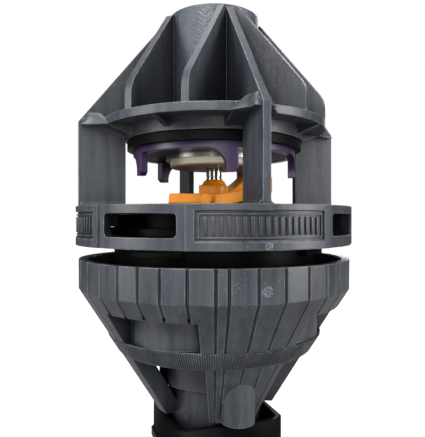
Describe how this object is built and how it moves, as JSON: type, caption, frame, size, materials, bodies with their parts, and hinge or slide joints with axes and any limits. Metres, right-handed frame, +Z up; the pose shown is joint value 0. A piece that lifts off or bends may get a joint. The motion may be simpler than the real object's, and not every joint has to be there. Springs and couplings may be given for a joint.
{
  "type": "rotating plate sprinkler",
  "caption": "Caged rotating-plate irrigation sprinkler: a jet strikes a braked spinning plate inside a ribbed four-post cage that lifts off a fluted lower body with a threaded inlet.",
  "frame": {"origin": "centre of the inlet nipple's lower end face, on the spin axis", "axes": "+Z up along the spin axis to the roof; the four posts stand on +X, -X, +Y and -Y"},
  "size_m": [0.081, 0.081, 0.1462],
  "materials": {
    "body_plastic": "satin, fine moulded texture",
    "black_plastic": "dull black",
    "purple_plastic": "satin purple",
    "orange_plastic": "satin bright orange",
    "cream_plastic": "satin cream",
    "bush_plastic": "natural acetal",
    "seal_rubber": "black nitrile",
    "polished_steel": "polished stainless steel",
    "plain_steel": "rolled stainless steel"
  },
  "bodies": {
    "base": {"inlet_adapter": "black_plastic", "adapter_seal": "seal_rubber", "lower_body": "body_plastic", "latch_collar": "black_plastic"},
    "nozzle": {"nozzle": "cream_plastic", "nozzle_seal": "seal_rubber"},
    "cage": {"cage_frame": "body_plastic", "brake_housing": "black_plastic", "housing_seal": "seal_rubber", "bearing_plate": "black_plastic", "retaining_ring": "purple_plastic", "steel_dish": "plain_steel", "cover_disc": "cream_plastic", "lower_bush": "bush_plastic", "shaft_seal": "seal_rubber", "upper_bush": "bush_plastic"},
    "rotor": {"shaft": "polished_steel", "brake_rotor": "black_plastic", "thrust_washer": "plain_steel", "shaft_clip": "plain_steel", "spray_plate": "orange_plastic"}
  },
  "joints": [
    {"name": "cage_lift", "type": "slide", "parent": "base", "child": "cage", "axis": [0, 0, 1], "range_m": [0, 0.012]},
    {"name": "nozzle_turn", "type": "hinge", "parent": "base", "child": "nozzle", "pos_m": [0, 0, 0.05], "axis": [0, 0, 1], "range_deg": [0, 90]},
    {"name": "plate_spin", "type": "hinge", "parent": "cage", "child": "rotor", "pos_m": [0, 0, 0.0925], "axis": [0, 0, 1], "continuous": true}
  ]
}
